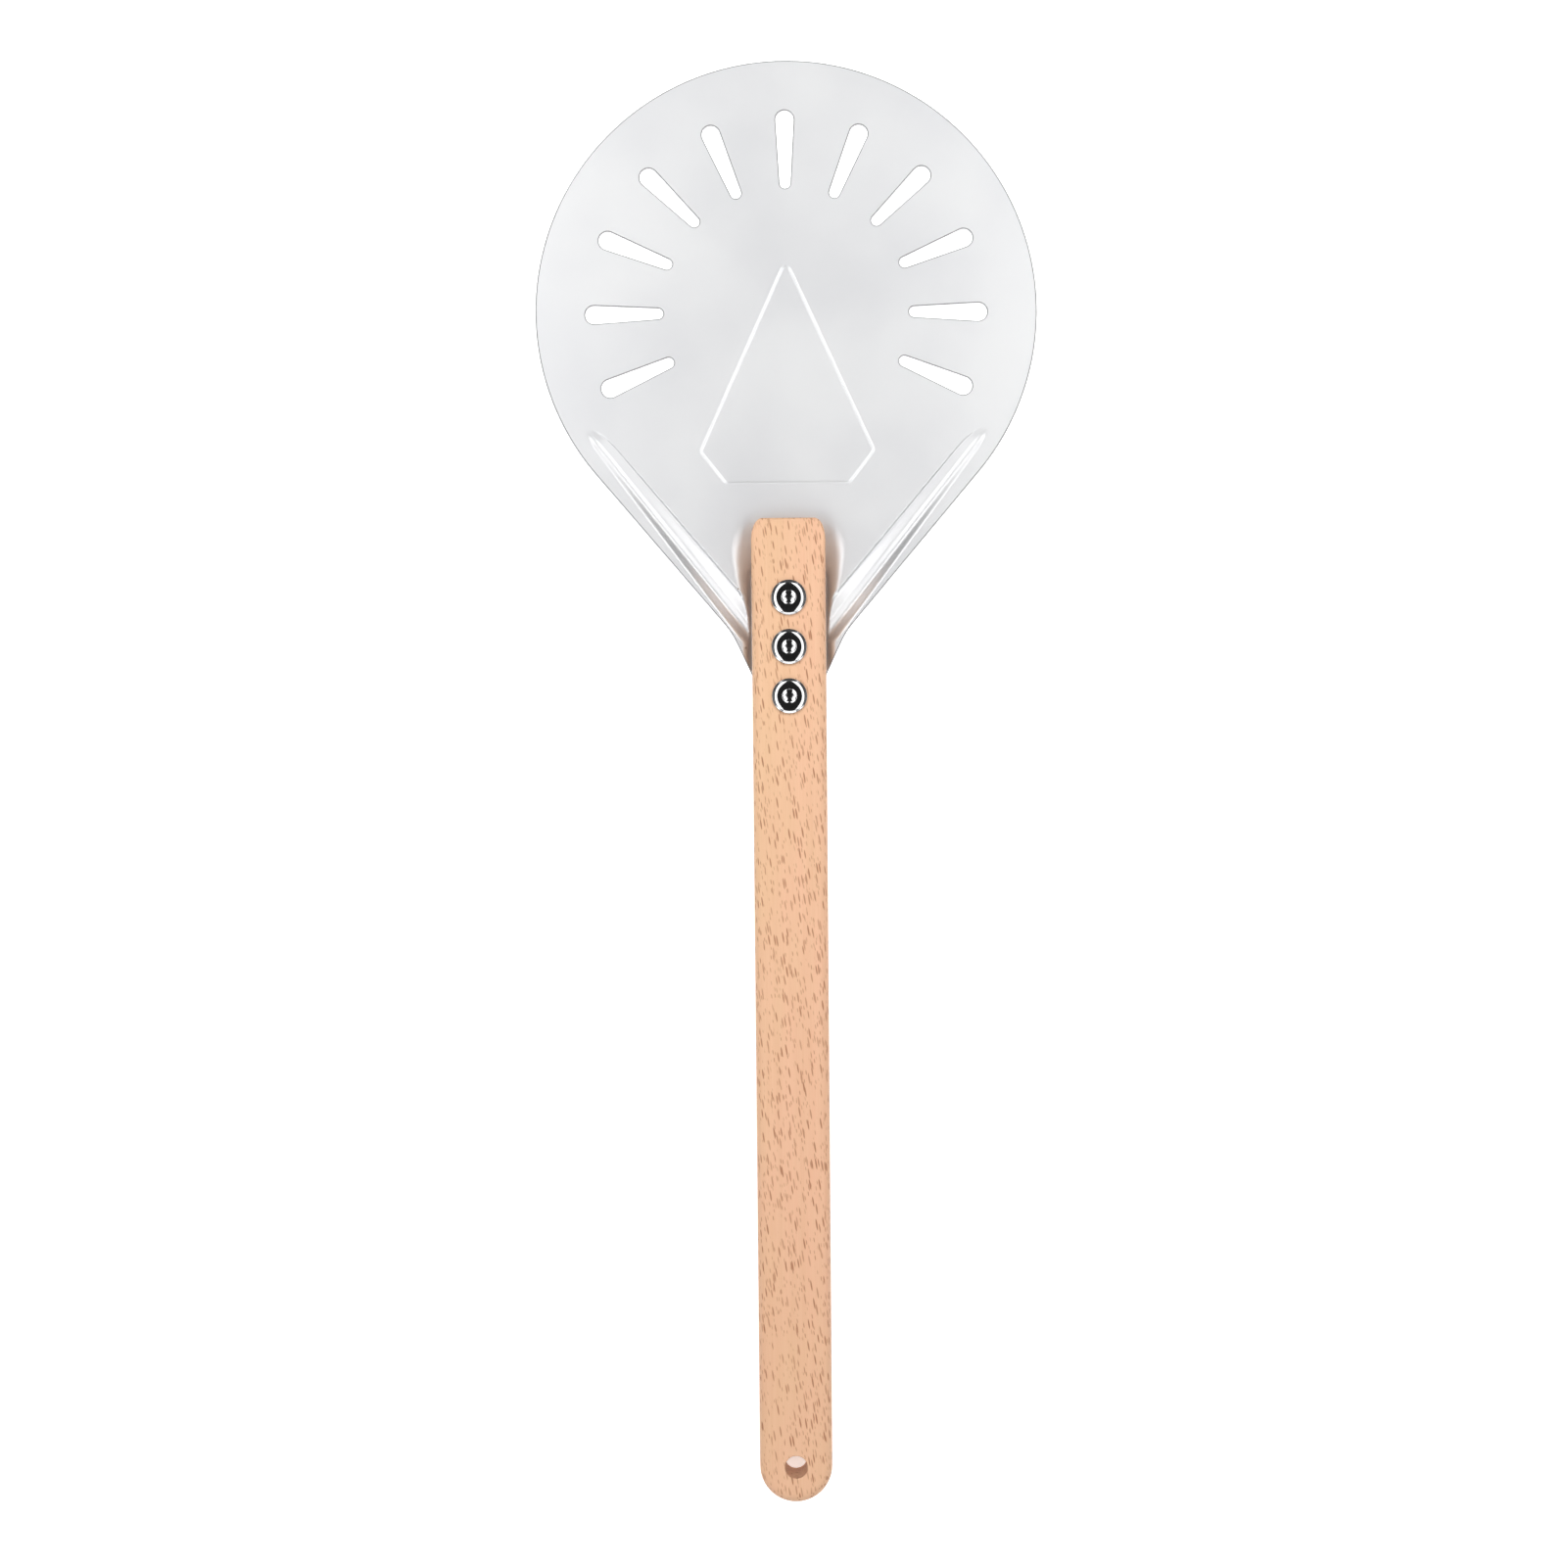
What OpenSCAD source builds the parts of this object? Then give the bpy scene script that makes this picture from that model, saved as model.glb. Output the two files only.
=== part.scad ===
// Pizza turning peel: a stamped, perforated round aluminium blade bolted to a flat beech handle.
// Origin: centre of the round blade, on its flat underside. +Z points to the side that carries the
// handle, and the handle runs along -Y. All sizes are in millimetres.

/* [Blade] */
// Diameter of the round blade
blade_d = 228.6; // [225:0.1:235]
// Thickness of the sheet
sheet_t = 1.2; // [1:0.1:1.5]
// Angle of the straight side edges, from the handle's direction
edge_angle = 40.2; // [39.5:0.1:41]
// Half width of the blade where its edges turn into the neck
neck_half_w = 26; // [25:0.5:28]
// Angle of the neck's edges, from the handle's direction
neck_angle = 25; // [22:1:28]
// Radius of the bend between a side edge and the neck
neck_fillet_r = 40; // [20:5:60]
// Distance from the origin to the centre of the tongue's round end
tongue_y = 173; // [170:0.5:175]

/* [Slots] */
// Number of drain slots
slot_count = 11; // [5:2:13]
// Angle between two slots, in degrees
slot_pitch = 22.65; // [18:0.05:23]
// Distance from the origin to the centre of a slot's outer round end
slot_outer_y = 87.5; // [80:0.5:95]
// Distance from the origin to the centre of a slot's inner round end
slot_inner_y = 58.5; // [50:0.5:65]
// Radius of a slot's outer end
slot_outer_r = 4.2; // [3:0.1:5]
// Radius of a slot's inner end
slot_inner_r = 2.5; // [1.5:0.1:3]

/* [Kite groove] */
// Distance from the origin forward to the kite's tip
kite_tip_y = 23.3; // [15:0.1:30]
// Half width of the kite at its shoulders
kite_shoulder_x = 39.6; // [30:0.1:42]
// Distance from the origin back to the kite's shoulders
kite_shoulder_y = 63.6; // [55:0.1:66]
// Half width of the kite's straight base
kite_base_x = 28.2; // [20:0.1:30]
// Distance from the origin back to the kite's base
kite_base_y = 78.1; // [70:0.1:80]
// Width of the pressed line
groove_w = 1.7; // [1:0.1:2.5]
// Depth of the pressed line
groove_depth = 0.25; // [0.2:0.05:0.5]

/* [Stiffening ribs] */
// Distance from the centre line to a rib's pointed tip
rib_tip_x = 90.1; // [88:0.1:90.5]
// Distance from the origin back to a rib's tip
rib_tip_y = 55.3; // [54:0.1:56]
// Distance from the centre line to the rib's deepest point at the neck
rib_root_x = 21.9; // [21.5:0.1:22.5]
// Distance from the origin back to that point
rib_root_y = 142; // [140:0.5:143]
// Depth of the rib at the neck
rib_depth = 3.8; // [2.5:0.1:3.9]

/* [Handle recess] */
// Depth of the recess that the handle lies in
recess_depth = 4.5; // [4.5:0.5:7]
// Half width of the recess round the handle's tip
recess_half_w = 27.4; // [26:0.1:29]
// Half width of the recess at the neck
recess_neck_half_w = 21.7; // [21:0.1:22]
// Radius of the recess's two front corners
recess_corner_r = 13; // [10:1:15]

/* [Handle] */
// Length of the handle
handle_len = 444; // [300:1:600]
// Distance from the origin to the handle's tip
handle_tip_y = 95.5; // [95:0.5:97]
// Width of the handle at its tip
handle_tip_w = 33.6; // [33:0.1:34]
// Width of the handle at its far end
handle_end_w = 32.6; // [30:0.1:34]
// Thickness of the handle
handle_h = 20; // [18:1:24]
// Radius of the handle's long edges
handle_edge_r = 4.5; // [3:0.5:6]
// Diameter of the hang hole
hang_hole_d = 10; // [8:0.5:12]

/* [Fasteners] */
// Distance from the origin to the first fastener
first_bolt_y = 131.5; // [130:0.5:133]
// Distance between two fasteners
bolt_pitch = 22.2; // [20:0.1:22.5]
// Diameter of a fastener's head
head_d = 16; // [14:0.5:16]
// Height of a fastener's head
head_h = 2.4; // [2:0.1:3.2]
// Diameter of the flat top of a head
head_flat_d = 10.4; // [9:0.1:12]
// Width across the flats of the hex socket
socket_af = 5; // [4:0.5:5]
// Depth of the hex socket
socket_depth = 3; // [2.5:0.1:3.5]
// Diameter of the bevel round the socket
bevel_d = 6.4; // [6.2:0.1:8]
// Diameter of the bolt's shank
shank_d = 6; // [5:0.1:6]
// Outer diameter of the sleeve nut's barrel
barrel_d = 8; // [7.6:0.1:8]

/* [Hidden] */
$fn = 96;

bolt_count = 3;
over = 1;                                   // how far a cutting body runs past the sheet
blade_r = blade_d / 2;
recess_floor = sheet_t - recess_depth;      // top of the sheet at the bottom of the recess
handle_top = recess_floor + handle_h;
tongue_under = -recess_depth;               // underside of the sheet at the bottom of the recess

// Right edge of the blade: it leaves the circle at edge_leave, runs straight to the bend at the
// neck, and from there to tongue_leave, where it meets the tongue's round end.
edge_leave = blade_r * [cos(edge_angle), -sin(edge_angle)];
edge_run = (edge_leave.x - neck_half_w) / sin(edge_angle);
neck_bend = edge_leave - edge_run * [sin(edge_angle), cos(edge_angle)];
tongue_centre = [0, -tongue_y];
tongue_r = (neck_bend - tongue_centre) * [cos(neck_angle), -sin(neck_angle)];

// The soft bend at the neck is a circle outside the blade that touches both straight runs.
fillet_run = neck_fillet_r * tan((edge_angle - neck_angle) / 2);
fillet_start = neck_bend + fillet_run * [sin(edge_angle), cos(edge_angle)];
fillet_centre = fillet_start + neck_fillet_r * [cos(edge_angle), -sin(edge_angle)];

// A rib's deepest line runs from rib_tip to rib_root and a little past it, into the recess.
rib_tip = [rib_tip_x, -rib_tip_y];
rib_line = [rib_root_x, -rib_root_y] - rib_tip;
rib_len = norm(rib_line);
rib_along = rib_line / rib_len;
rib_inward = [rib_along.y, -rib_along.x];
rib_past = 7;
rib_inner_w = [5.3, 9.4];                   // width of the gentle inner wall, at the tip and the neck
rib_outer_w = [3.3, 5.3];                   // width of the steeper outer wall
rib_skirt = [0.2, 0.5];                     // how much wider the two walls are on the underside

// Recess: the foot of its side walls stays just outside the handle. Its front wall is a long gentle
// slope that starts under the handle, whose underside rises with it.
recess_gap = 0.6;
recess_foot_r = 6;
recess_foot_w = handle_tip_w / 2 + recess_gap;
recess_foot_y = handle_tip_y + 20;
recess_front_y = handle_tip_y - 7.5;
recess_narrow_y = 142;                      // the recess has its neck width behind this
recess_back_y = 200;
recess_skirt = 0.6;                         // how much wider the recess is on the underside
slice = 0.01;

// Handle: elliptical corners at the tip, a half round at the far end. Towards the tip its underside
// rises, to clear the front wall of the recess.
tip_corner_w = 5;
tip_corner_len = 10;
tip_corner_h = 2.5;
tip_rise = 2.6;
tip_rise_len = 14;
end_r = handle_end_w / 2;
end_y = handle_tip_y + handle_len - end_r;

// Fasteners: the barrel stands up through the sheet into the handle, and the shank screws into it.
fastener_gap = 0.1;
thread_gap = 0.05;
barrel_top = 6;
barrel_floor = tongue_under + 2.4;
shank_bottom = barrel_floor + 1;
hex_r = socket_af / sqrt(3);                // centre to corner of the hexagon
head_edge_h = 1.5;                          // height of a head's straight rim
dome_steps = 8;
bore_r = barrel_d / 2 + fastener_gap;

function bolt_y(i) = -(first_bolt_y + i * bolt_pitch);
function mix(a, b, f) = a + (b - a) * f;

// A closed solid through a list of rings that have equally many points.
module loft(rings) {
    n = len(rings[0]);
    last = len(rings) - 1;
    bottom = [for (i = [0:n - 1]) i];
    top = [for (i = [n - 1:-1:0]) last * n + i];
    sides = [for (k = [0:last - 1], i = [0:n - 1])
        let (a = k * n + i, b = k * n + (i + 1) % n)
        each [[a, a + n, b], [b, a + n, b + n]]];
    polyhedron(points = [for (ring = rings) each ring], faces = concat([bottom, top], sides));
}

// Points of an arc; angles grow anticlockwise from +X.
function arc(centre, r, from, to, steps) =
    [for (i = [0:steps]) let (a = mix(from, to, i / steps)) centre + r * [cos(a), sin(a)]];

// Right edge from the tongue's end to the blade's front, then the same mirrored.
module blade_outline() {
    right = concat(
        arc(tongue_centre, tongue_r, -90, -neck_angle, 12),
        arc(fillet_centre, neck_fillet_r, 180 - neck_angle, 180 - edge_angle, 6),
        arc([0, 0], blade_r, -edge_angle, 0, 26),
        arc([0, 0], blade_r, 0, 90, 60));
    left = [for (i = [len(right) - 2:-1:1]) [-right[i].x, right[i].y]];
    polygon(concat(right, left));
}

// One drain slot, on the +Y axis: two round ends joined by straight sides that touch both.
module slot_outline() {
    lean = asin((slot_outer_r - slot_inner_r) / (slot_outer_y - slot_inner_y));
    polygon(concat(
        arc([0, slot_outer_y], slot_outer_r, -lean, 180 + lean, 12),
        arc([0, slot_inner_y], slot_inner_r, 180 + lean, 360 - lean, 10)));
}

module slots() {
    for (i = [0:slot_count - 1])
        rotate((i - (slot_count - 1) / 2) * slot_pitch)
            translate([0, 0, -over]) linear_extrude(sheet_t + 2 * over) slot_outline();
}

// A convex outline, listed clockwise, grown outwards by a distance with its corners kept sharp.
function grown(points, by) =
    let (n = len(points))
    [for (i = [0:n - 1])
        let (
            before = points[i] - points[(i + n - 1) % n],
            after = points[(i + 1) % n] - points[i],
            out_before = [-before.y, before.x] / norm(before),
            out_after = [-after.y, after.x] / norm(after))
        points[i] + by * (out_before + out_after) / (1 + out_before * out_after)];

module kite_groove() {
    kite = [
        [0, kite_tip_y],
        [kite_shoulder_x, -kite_shoulder_y],
        [kite_base_x, -kite_base_y],
        [-kite_base_x, -kite_base_y],
        [-kite_shoulder_x, -kite_shoulder_y]];
    translate([0, 0, sheet_t - groove_depth]) linear_extrude(over) difference() {
        polygon(grown(kite, groove_w / 2));
        polygon(grown(kite, -groove_w / 2));
    }
}

// One cross-section of a rib, at a distance from its tip: open at the top, deepest on its line. Near
// the tip, narrow is the share of its full width that it has.
function rib_ring(dist, narrow, depth, skirt, z) =
    let (
        f = dist / rib_len,
        inner = narrow * mix(rib_inner_w[0], rib_inner_w[1], f) + skirt * rib_skirt[0],
        outer = narrow * mix(rib_outer_w[0], rib_outer_w[1], f) + skirt * rib_skirt[1],
        on_line = rib_tip + dist * rib_along,
        crease = on_line + inner * rib_inward,
        bend = on_line - outer * rib_inward)
    [
        [on_line.x, on_line.y, z - depth],
        [bend.x, bend.y, z],
        [bend.x, bend.y, z + over],
        [crease.x, crease.y, z + over],
        [crease.x, crease.y, z]];

// The rib's hollow (skirt = 0, z = top of the sheet) or its underside (skirt = 1, z = 0).
module rib_body(skirt, z) {
    rings = [
        rib_ring(-2, 0.15, 0.02, skirt, z),
        rib_ring(3, 0.72, 0.25 * rib_depth, skirt, z),
        rib_ring(14, 1, 0.38 * rib_depth, skirt, z),
        rib_ring(rib_len + rib_past, 1, rib_depth, skirt, z)];
    loft(rings);
    mirror([1, 0, 0]) loft(rings);
}

// Outline of the recess, with its two front corners rounded.
module recess_outline(half_w, back_half_w, front_y, r) {
    for (s = [-1, 1]) translate([s * (half_w - r), -(front_y + r)]) circle(r = r);
    translate([-back_half_w, -recess_back_y])
        square([2 * back_half_w, recess_back_y - recess_narrow_y]);
}

// The recess's hollow (skirt = 0, z = top of the sheet) or its underside (skirt = 1, z = 0).
module recess_body(skirt, z) {
    grow = skirt * recess_skirt;
    hull($fn = 32) {
        translate([0, 0, z - recess_depth]) linear_extrude(slice)
            recess_outline(recess_foot_w + grow, recess_foot_w + grow, recess_foot_y - grow, recess_foot_r);
        translate([0, 0, z]) linear_extrude(over)
            recess_outline(
                recess_half_w + grow, recess_neck_half_w + grow, recess_front_y - grow, recess_corner_r);
    }
}

// The flat sheet and the undersides of the pressed forms are trimmed to the outline together; their
// hollows are then cut, which leaves one sheet thickness everywhere.
module blade() {
    color("gainsboro") difference() {
        intersection() {
            translate([0, 0, -recess_depth - over])
                linear_extrude(recess_depth + 3 * over) blade_outline();
            union() {
                cylinder(r = 2 * blade_r, h = sheet_t);
                rib_body(1, 0);
                recess_body(1, 0);
            }
        }
        rib_body(0, sheet_t);
        recess_body(0, sheet_t);
        slots();
        kite_groove();
        for (i = [0:bolt_count - 1])
            translate([0, bolt_y(i), tongue_under - over])
                cylinder(r = bore_r, h = sheet_t + 2 * over, $fn = 48);
    }
}

module handle() {
    corner_y = handle_tip_y + tip_corner_len;
    color("burlywood") translate([0, 0, recess_floor]) difference() {
        hull($fn = 32) {
            for (z = [handle_edge_r, handle_h - handle_edge_r])
                translate([0, -end_y, z])
                    rotate_extrude() translate([end_r - handle_edge_r, 0]) circle(r = handle_edge_r);
            for (
                s = [-1, 1],
                yz = [
                    [corner_y, handle_h - tip_corner_h],
                    [corner_y, tip_rise + tip_corner_h],
                    [corner_y + tip_rise_len, tip_corner_h]])
                translate([s * (handle_tip_w / 2 - tip_corner_w), -yz[0], yz[1]])
                    scale([tip_corner_w, tip_corner_len, tip_corner_h]) sphere(r = 1);
        }
        for (i = [0:bolt_count - 1])
            translate([0, bolt_y(i), -over]) cylinder(r = bore_r, h = handle_h + 2 * over, $fn = 48);
        translate([0, -end_y, -over]) cylinder(d = hang_hole_d, h = handle_h + 2 * over, $fn = 64);
    }
}

// A low domed head, standing on z = 0 with its flat top up.
module head() {
    flat_r = head_flat_d / 2;
    dome_w = head_d / 2 - flat_r;
    dome_h = head_h - head_edge_h;
    rotate_extrude($fn = 64) polygon(concat(
        [[0, 0], [head_d / 2, 0]],
        [for (i = [0:dome_steps])
            let (a = 90 * i / dome_steps)
            [flat_r + dome_w * cos(a), head_edge_h + dome_h * sin(a)]],
        [[0, head_h]]));
}

// The hex socket with its bevel, cut down from z = 0.
module socket() {
    bevel_h = (bevel_d - socket_af) / 2;
    translate([0, 0, -socket_depth]) cylinder(r = hex_r, h = socket_depth + over, $fn = 6);
    translate([0, 0, -bevel_h]) cylinder(d1 = socket_af, d2 = bevel_d, h = bevel_h, $fn = 48);
    cylinder(d = bevel_d, h = over, $fn = 48);
}

module bolt(i) {
    color("silver") translate([0, bolt_y(i), handle_top]) difference() {
        union() {
            head();
            translate([0, 0, shank_bottom - handle_top])
                cylinder(d = shank_d, h = handle_top - shank_bottom + head_edge_h, $fn = 48);
        }
        translate([0, 0, head_h]) socket();
    }
}

module sleeve_nut(i) {
    color("silver") translate([0, bolt_y(i), tongue_under]) difference() {
        union() {
            mirror([0, 0, 1]) head();
            cylinder(d = barrel_d, h = barrel_top - tongue_under, $fn = 48);
        }
        translate([0, 0, barrel_floor - tongue_under])
            cylinder(r = shank_d / 2 + thread_gap, h = barrel_top - barrel_floor + over, $fn = 48);
        translate([0, 0, -head_h]) mirror([0, 0, 1]) socket();
    }
}

blade();
handle();
for (i = [0:bolt_count - 1]) {
    bolt(i);
    sleeve_nut(i);
}
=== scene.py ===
"""Looks of the pizza turning peel: pressed aluminium blade, beech handle, and three connector bolts
with sleeve nuts. Shapes are worked out in millimetres, in the frame's axes: the origin is the centre
of the blade's flat underside, +Z is the side that carries the handle, and the handle runs along -Y."""

import math

import bmesh
import bpy
import numpy as np
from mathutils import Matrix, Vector
from mathutils.geometry import delaunay_2d_cdt


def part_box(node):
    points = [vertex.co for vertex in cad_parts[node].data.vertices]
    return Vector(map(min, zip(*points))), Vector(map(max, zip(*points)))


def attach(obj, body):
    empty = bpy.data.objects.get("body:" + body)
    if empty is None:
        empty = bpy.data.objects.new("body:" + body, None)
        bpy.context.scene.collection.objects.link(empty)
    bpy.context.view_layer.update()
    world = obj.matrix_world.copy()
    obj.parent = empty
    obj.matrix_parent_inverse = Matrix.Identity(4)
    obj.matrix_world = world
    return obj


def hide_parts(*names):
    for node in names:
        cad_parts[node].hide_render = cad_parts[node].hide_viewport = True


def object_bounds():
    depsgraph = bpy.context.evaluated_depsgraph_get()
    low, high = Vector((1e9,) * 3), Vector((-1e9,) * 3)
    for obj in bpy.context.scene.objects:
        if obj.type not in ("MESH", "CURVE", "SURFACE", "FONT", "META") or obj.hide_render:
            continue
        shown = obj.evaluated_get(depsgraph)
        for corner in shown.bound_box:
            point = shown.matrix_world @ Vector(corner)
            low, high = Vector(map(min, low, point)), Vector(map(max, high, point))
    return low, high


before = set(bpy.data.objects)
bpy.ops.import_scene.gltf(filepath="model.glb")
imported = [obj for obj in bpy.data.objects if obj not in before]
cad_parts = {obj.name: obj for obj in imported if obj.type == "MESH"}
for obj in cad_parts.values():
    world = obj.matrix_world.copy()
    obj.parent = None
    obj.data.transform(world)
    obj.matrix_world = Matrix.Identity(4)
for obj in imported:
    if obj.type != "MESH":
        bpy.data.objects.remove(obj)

cad_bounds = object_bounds()

MM = 0.001

# ---------------------------------------------------------------- sizes, in millimetres


def node_box(node):
    """Lowest and highest corner of a CAD node, in millimetres."""
    low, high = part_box(node)
    return np.array(low) / MM, np.array(high) / MM


blade_high = node_box("blade")[1]
handle_low, handle_high = node_box("handle")
bolt_boxes = [node_box(f"bolt_{i}") for i in (1, 2, 3)]
nut_boxes = [node_box(f"sleeve_nut_{i}") for i in (1, 2, 3)]

BLADE_R = blade_high[0]
SHEET_T = 1.2
EDGE_ANGLE = math.radians(40.2)
NECK_ANGLE = math.radians(25)
NECK_HALF_W = 26.0
NECK_FILLET_R = 40.0
TONGUE_Y = -173.0
SHEET_EDGE_R = 0.5
SLOT_EDGE_R = 0.4
HOLE_EDGE_R = 0.15

SLOT_COUNT = 11
SLOT_PITCH = math.radians(22.65)
SLOT_OUTER_Y, SLOT_OUTER_R = 87.5, 4.2
SLOT_INNER_Y, SLOT_INNER_R = 58.5, 2.5

KITE = [(0.0, 23.3), (39.6, -63.6), (28.2, -78.1), (-28.2, -78.1), (-39.6, -63.6)]
KITE_CORNER_R = 2.2
KITE_CLEAR = 2.6
GROOVE_HALF_W = 0.85
GROOVE_DEPTH = 0.18

RIB_TIP = np.array([90.1, -55.3])
RIB_ROOT = np.array([21.9, -142.0])
RIB_LEN = np.linalg.norm(RIB_ROOT - RIB_TIP)
RIB_ALONG = (RIB_ROOT - RIB_TIP) / RIB_LEN
RIB_DEPTH = 3.8
RIB_TIP_DEPTH = 0.75
# Places along a rib are distances from RIB_TIP, and pairs of widths and shares go from tip to root.
RIB_START = -2.0
RIB_DIP_LEN = 9.0
RIB_FULL_W_AT = 14.0
RIB_PAST_ROOT = 4.0
RIB_INNER_W = (5.3, 9.4)
RIB_OUTER_W = (3.3, 5.3)
RIB_FOOT_SPAN, RIB_FOOT_SHARE = (20.0, 80.0), (0.34, 0.12)
RIB_CREASE_SPAN, RIB_CREASE_SHARE = (70.0, 110.0), (0.52, 0.26)
# Where the parts of a rib's inner wall begin and end, as shares of its width.
WALL_FOOT, WALL_SLOPE, WALL_CREASE = (0.0, 0.3), (0.25, 0.87), (0.86, 1.0)

HANDLE_TOP = handle_high[2]
HANDLE_UNDER = handle_low[2]
HANDLE_TIP_Y = handle_high[1]
HANDLE_TIP_HALF_W = handle_high[0]
HANDLE_END_R = 16.3
HANDLE_END_Y = handle_low[1] + HANDLE_END_R
HANDLE_CORNER_W, HANDLE_CORNER_LEN = 5.0, 10.0
HANG_HOLE_R, HANG_HOLE_EDGE_R = 5.0, 0.5
# The edges are sharper at the tip, up to a span that is measured back from it. The underside rises
# towards the tip, with the slope and over the length given.
HANDLE_EDGE_R, HANDLE_TIP_EDGE_R = 4.4, 1.3
HANDLE_EDGE_SPAN = (8.0, 38.0)
HANDLE_RISE, HANDLE_RISE_LEN = 0.17, 24.0

RECESS_DEPTH = SHEET_T - HANDLE_UNDER
RECESS_RUN_IN, RECESS_PAST_TIP = 20.0, 7.5
RECESS_GAP = 0.6
RECESS_HALF_W = HANDLE_TIP_HALF_W + RECESS_GAP
RECESS_FRONT_Y = HANDLE_TIP_Y - RECESS_RUN_IN
RECESS_FOOT_R = 6.0
# The recess's side walls are wide beside the handle's tip and narrow at the neck.
RECESS_WIDE, RECESS_WIDE_Y = 9.8, -106.0
RECESS_NARROW, RECESS_NARROW_Y = 4.1, -140.0
RECESS_SIDE_POWER = 2.2
RECESS_FRONT_STRAIGHT = 0.4
# The recess and the ribs join softly over PRESS_JOIN, and lie behind PRESSED_FRONT_Y.
PRESS_JOIN = 1.2
PRESSED_FRONT_Y = -40.0
STEEPEST_STRETCH = 1.2

BOLT_YS = [(low[1] + high[1]) / 2 for low, high in bolt_boxes]
HEAD_R = 8.0
HEAD_H = bolt_boxes[0][1][2] - HANDLE_TOP
HEAD_FLAT_R = 5.1
HEAD_EDGE_R = 0.45
SHOULDER_SLOPE = math.radians(31)
SOCKET_BEVEL_R, SOCKET_BEVEL_SLOPE = 3.2, 0.32
SOCKET_APOTHEM = 2.5
SOCKET_DEPTH, SOCKET_CONE_H = 3.0, 0.3
BOLT_BORE_R, BOLT_BORE_EDGE_R = 4.1, 0.2
SHANK_R = 3.0
BARREL_R = 4.0
NECK_FLARE = 0.2
THREAD_PITCH = 1.0
BOLT_THREAD_TOP = -8.0
BOLT_CREST_R, BOLT_ROOT_R, BOLT_END_R = 2.98, 2.5, 2.3
NUT_CREST_R, NUT_ROOT_R, NUT_END_R = 3.02, 3.3, 2.6
NUT_FLOOR_H = 2.4
# A turned piece is closed at its ends by rings this close to its axis.
AXIS_R = 0.02

# ---------------------------------------------------------------- flat outlines


def arc(centre, radius, start, end, step):
    """Points of an arc, about step apart; angles in radians, anticlockwise from +X."""
    count = max(2, int(math.ceil(abs(end - start) * radius / step)))
    a = np.linspace(start, end, count + 1)
    return np.column_stack([centre[0] + radius * np.cos(a), centre[1] + radius * np.sin(a)])


def closed(points, step):
    """A closed outline through the points, with new points wherever a gap is longer than step."""
    out = []
    for a, b in zip(points, np.roll(points, -1, axis=0)):
        gap = np.linalg.norm(b - a)
        if gap < 1e-6:
            continue
        count = max(1, int(math.ceil(gap / step)))
        out += [a + (b - a) * k / count for k in range(count)]
    return np.array(out)


def outward(loop):
    """Unit normals of a closed outline, pointing to its right: outwards if it is anticlockwise."""
    along = np.roll(loop, -1, axis=0) - np.roll(loop, 1, axis=0)
    along /= np.linalg.norm(along, axis=1)[:, None]
    return np.column_stack([along[:, 1], -along[:, 0]])


def mirrored(right):
    """An anticlockwise outline from its right half, which runs from the rear to the front."""
    left = right[::-1] * [-1, 1]
    return np.vstack([right, left])


def blade_outline(step):
    """The round front, straight sides tangent to it, a filleted neck, and the tongue's round end."""
    leave = BLADE_R * np.array([math.cos(EDGE_ANGLE), -math.sin(EDGE_ANGLE)])
    run = (leave[0] - NECK_HALF_W) / math.sin(EDGE_ANGLE)
    bend = leave - run * np.array([math.sin(EDGE_ANGLE), math.cos(EDGE_ANGLE)])
    tongue = np.array([0.0, TONGUE_Y])
    tongue_r = (bend - tongue) @ np.array([math.cos(NECK_ANGLE), -math.sin(NECK_ANGLE)])
    fillet_run = NECK_FILLET_R * math.tan((EDGE_ANGLE - NECK_ANGLE) / 2)
    start = bend + fillet_run * np.array([math.sin(EDGE_ANGLE), math.cos(EDGE_ANGLE)])
    centre = start + NECK_FILLET_R * np.array([math.cos(EDGE_ANGLE), -math.sin(EDGE_ANGLE)])
    right = np.vstack([
        arc(tongue, tongue_r, -math.pi / 2, -NECK_ANGLE, step),
        arc(centre, NECK_FILLET_R, math.pi - NECK_ANGLE, math.pi - EDGE_ANGLE, step),
        arc((0, 0), BLADE_R, -EDGE_ANGLE, math.pi / 2, step)])
    return closed(mirrored(right), step)


def slot_outline(angle, step):
    """A slot with two round ends, wider outwards, turned clockwise from the front."""
    lean = math.asin((SLOT_OUTER_R - SLOT_INNER_R) / (SLOT_OUTER_Y - SLOT_INNER_Y))
    points = np.vstack([
        arc((0, SLOT_OUTER_Y), SLOT_OUTER_R, -lean, math.pi + lean, step),
        arc((0, SLOT_INNER_Y), SLOT_INNER_R, math.pi + lean, 2 * math.pi - lean, step)])
    turn = np.array([[math.cos(angle), math.sin(angle)], [-math.sin(angle), math.cos(angle)]])
    return closed(points @ turn, 1.6 * step)


def circle(centre, radius, step):
    return arc(centre, radius, 0, 2 * math.pi, step)[:-1]


def handle_outline(step):
    """The half round end, straight tapered sides, and elliptical corners at the tip."""
    a = np.linspace(0, math.pi / 2, 16)
    corner = np.column_stack([
        HANDLE_TIP_HALF_W - HANDLE_CORNER_W + HANDLE_CORNER_W * np.cos(a),
        HANDLE_TIP_Y - HANDLE_CORNER_LEN + HANDLE_CORNER_LEN * np.sin(a)])
    right = np.vstack([arc((0, HANDLE_END_Y), HANDLE_END_R, -math.pi / 2, 0, step), corner])
    return closed(mirrored(right), step)


def inside(points, loop):
    """Which points lie inside a closed outline."""
    x, y = points[:, 0], points[:, 1]
    hit = np.zeros(len(points), bool)
    for (ax, ay), (bx, by) in zip(loop, np.roll(loop, -1, axis=0)):
        if ay == by:
            continue
        crosses = (ay > y) != (by > y)
        hit ^= crosses & (x < (bx - ax) * (y - ay) / (by - ay) + ax)
    return hit


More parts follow.
